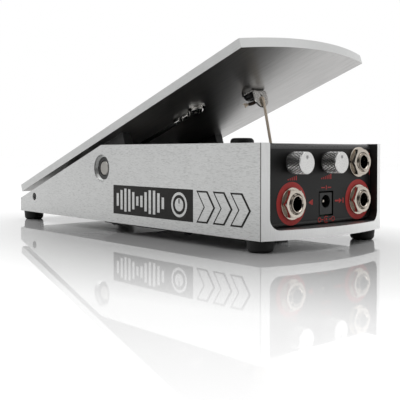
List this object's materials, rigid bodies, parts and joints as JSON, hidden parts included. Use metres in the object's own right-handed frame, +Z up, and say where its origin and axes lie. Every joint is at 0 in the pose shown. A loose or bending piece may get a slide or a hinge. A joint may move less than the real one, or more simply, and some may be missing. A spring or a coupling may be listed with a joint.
{
  "type": "volume pedal",
  "caption": "Rocking foot pedal: aluminium treadle on an open U-channel case, string-driven potentiometer, jack panel with level and gain knobs.",
  "frame": {"origin": "centre of the bounding box in plan, on the plane that the four feet stand on", "axes": "+Z up; +Y along the pedal from the toe end (jack panel) to the heel end; +X to the right seen from the toe end"},
  "size_m": [0.0908, 0.2398, 0.1009],
  "materials": {
    "case_aluminium": "brushed lengthwise on the sides, satin on the cut edges",
    "treadle_aluminium": "satin, brushed lengthwise",
    "panel_black": "matte black powder coat",
    "cover_black": "matte black",
    "dark_screw": "black oxide",
    "rubber_black": "matte",
    "mat_black": "fine grain",
    "bush_black": "satin",
    "axle_steel": "turned, satin",
    "ear_black": "satin anodised black",
    "plastic_black": "semi-gloss",
    "nickel": "warm nickel plate",
    "bright_steel": "bright zinc plate",
    "knob_aluminium": "bright, diamond knurled",
    "board_green": "solder mask",
    "chip_black": "moulded",
    "capacitor_blue": "sleeved",
    "brass": "plain",
    "drum_black": "moulded",
    "cord_tan": "twisted cord",
    "wire_black": "stranded wire in soft sleeve",
    "wire_red": "stranded wire in soft sleeve"
  },
  "bodies": {
    "case": {"case_channel": "case_aluminium", "jack_panel": "panel_black", "panel_screws": "dark_screw", "bottom_cover": "cover_black", "cover_screws": "dark_screw", "foot_toe_left": "rubber_black", "foot_toe_right": "rubber_black", "foot_heel_left": "rubber_black", "foot_heel_right": "rubber_black", "toe_stop": "rubber_black", "heel_stop": "rubber_black", "rubber_screws": "dark_screw", "pivot_bush_left": "bush_black", "pivot_bush_right": "bush_black", "heel_pin": "dark_screw", "input_jack": "plastic_black", "output_jack": "plastic_black", "tuner_jack": "plastic_black", "jack_bushings": "nickel", "jack_washers": "nickel", "jack_nuts": "nickel", "dc_jack": "plastic_black", "dc_pin": "nickel", "main_board": "board_green", "board_posts": "brass", "board_screws": "bright_steel", "control_board": "board_green", "amp_chip": "chip_black", "capacitors": "capacitor_blue", "min_pot": "bright_steel", "gain_pot": "bright_steel", "pot_bracket": "panel_black", "bracket_bolts": "dark_screw", "volume_pot": "bright_steel", "pot_nut": "nickel", "pot_leads": "wire_red", "drive_string": "cord_tan", "return_string": "cord_tan", "return_spring": "bright_steel", "earth_wire": "wire_black"},
    "treadle": {"treadle_plate": "treadle_aluminium", "grip_mat": "mat_black", "ear_left": "ear_black", "ear_right": "ear_black", "ear_screws": "bright_steel", "axle": "axle_steel", "axle_screws": "dark_screw", "string_bracket": "bright_steel", "string_screw": "dark_screw", "earth_ring": "bright_steel", "earth_screw": "bright_steel"},
    "drum": {"pot_shaft": "axle_steel", "string_drum": "drum_black", "string_wrap": "cord_tan"},
    "hook": {"spring_hook": "bright_steel"},
    "min_knob_body": {"min_shaft": "axle_steel", "min_knob": "knob_aluminium"},
    "gain_knob_body": {"gain_shaft": "axle_steel", "gain_knob": "knob_aluminium"}
  },
  "joints": [
    {"name": "treadle_rock", "type": "hinge", "parent": "case", "child": "treadle", "pos_m": [0, 0.0174, 0.0367], "axis": [1, 0, 0], "range_deg": [0, 18], "deforming": ["drive_string", "earth_wire"]},
    {"name": "drum_turn", "type": "hinge", "parent": "case", "child": "drum", "pos_m": [0.0058, -0.0683, 0.0298], "axis": [1, 0, 0], "range_deg": [0, 240]},
    {"name": "hook_travel", "type": "slide", "parent": "case", "child": "hook", "axis": [0, 0.9992, -0.04], "range_m": [0, 0.029], "deforming": ["return_string", "return_spring"]},
    {"name": "min_knob_turn", "type": "hinge", "parent": "case", "child": "min_knob_body", "pos_m": [-0.0214, -0.1126, 0.041], "axis": [0, -1, 0], "range_deg": [-150, 150]},
    {"name": "gain_knob_turn", "type": "hinge", "parent": "case", "child": "gain_knob_body", "pos_m": [0.004, -0.1126, 0.041], "axis": [0, -1, 0], "range_deg": [-150, 150]}
  ],
  "couplings": [
    {"joint": "drum_turn", "follows": "treadle_rock", "ratio": 13.14},
    {"joint": "hook_travel", "follows": "treadle_rock", "m_per_rad": 0.0887}
  ]
}
